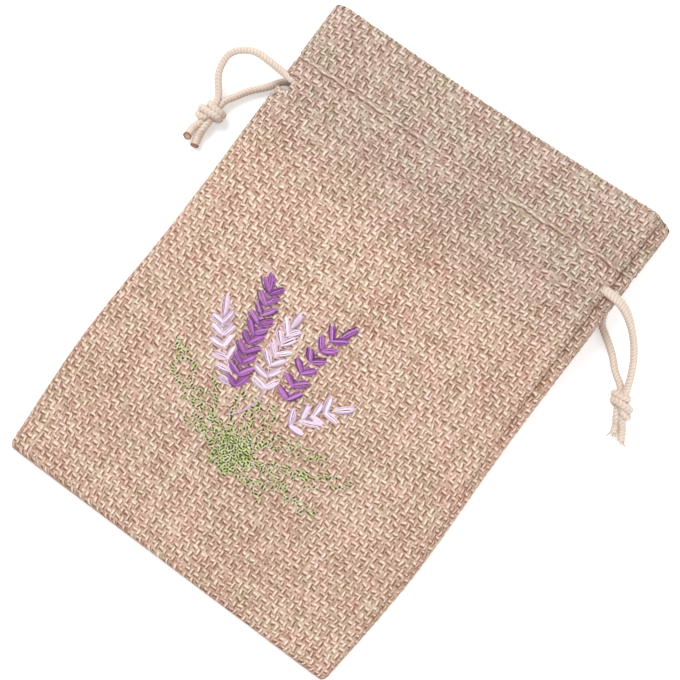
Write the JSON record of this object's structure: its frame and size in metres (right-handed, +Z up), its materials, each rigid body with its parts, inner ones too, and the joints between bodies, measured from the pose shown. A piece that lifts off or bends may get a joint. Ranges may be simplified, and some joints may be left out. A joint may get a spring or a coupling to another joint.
{
  "type": "lavender sachet",
  "caption": "Flat drawstring pouch of coarse woven cloth with embroidered lavender sprigs, filled with dried lavender to scent linen and keep moths away; a knotted cord at each side.",
  "frame": {"origin": "centre of the lying pouch without its free cords, on the table under its back", "axes": "+X to the right across the front, +Y from the bottom seam to the mouth, +Z up out of the front"},
  "size_m": [0.1411, 0.14, 0.0149],
  "materials": {
    "burlap_cloth": "coarse plain weave, matt",
    "sewing_thread": "spun thread, matt",
    "dried_lavender": "loose dry buds, matt",
    "violet_thread": "satin-stitched thread, soft sheen",
    "lilac_thread": "satin-stitched thread, soft sheen",
    "leaf_thread": "running-stitched thread, soft sheen",
    "braided_cord": "round braid, matt"
  },
  "bodies": {
    "pouch": {"front_panel": "burlap_cloth", "back_panel": "burlap_cloth", "left_seam_allowance": "burlap_cloth", "right_seam_allowance": "burlap_cloth", "bottom_seam_allowance": "burlap_cloth", "left_overlock_thread": "sewing_thread", "right_overlock_thread": "sewing_thread", "bottom_overlock_thread": "sewing_thread", "front_upper_channel_stitch": "sewing_thread", "front_lower_channel_stitch": "sewing_thread", "back_upper_channel_stitch": "sewing_thread", "back_lower_channel_stitch": "sewing_thread", "dried_lavender_fill": "dried_lavender", "violet_spike_left": "violet_thread", "violet_spike_right": "violet_thread", "lilac_spike_left": "lilac_thread", "lilac_spike_middle": "lilac_thread", "lilac_spike_right": "lilac_thread", "leaf_spray": "leaf_thread", "left_cord_bight": "braided_cord", "right_cord_bight": "braided_cord"},
    "left_cord": {"left_cord_front_run": "braided_cord", "left_cord_back_run": "braided_cord"},
    "left_loop": {"left_cord_front_strand": "braided_cord", "left_cord_back_strand": "braided_cord", "left_knot": "braided_cord", "left_tail_1": "braided_cord", "left_tail_2": "braided_cord"},
    "right_cord": {"right_cord_front_run": "braided_cord", "right_cord_back_run": "braided_cord"},
    "right_loop": {"right_cord_front_strand": "braided_cord", "right_cord_back_strand": "braided_cord", "right_knot": "braided_cord", "right_tail_1": "braided_cord", "right_tail_2": "braided_cord"}
  },
  "joints": [
    {"name": "left_cord_pull", "type": "slide", "parent": "pouch", "child": "left_cord", "axis": [-1, 0, 0], "range_m": [0, 0.036]},
    {"name": "left_loop_swing", "type": "hinge", "parent": "left_cord", "child": "left_loop", "pos_m": [-0.0512, 0.04585, 0.00585], "axis": [0, 0, 1], "range_deg": [-75, 12]},
    {"name": "right_cord_pull", "type": "slide", "parent": "pouch", "child": "right_cord", "axis": [1, 0, 0], "range_m": [0, 0.036]},
    {"name": "right_loop_swing", "type": "hinge", "parent": "right_cord", "child": "right_loop", "pos_m": [0.0512, 0.04965, 0.00585], "axis": [0, 0, 1], "range_deg": [-20, 75]}
  ]
}
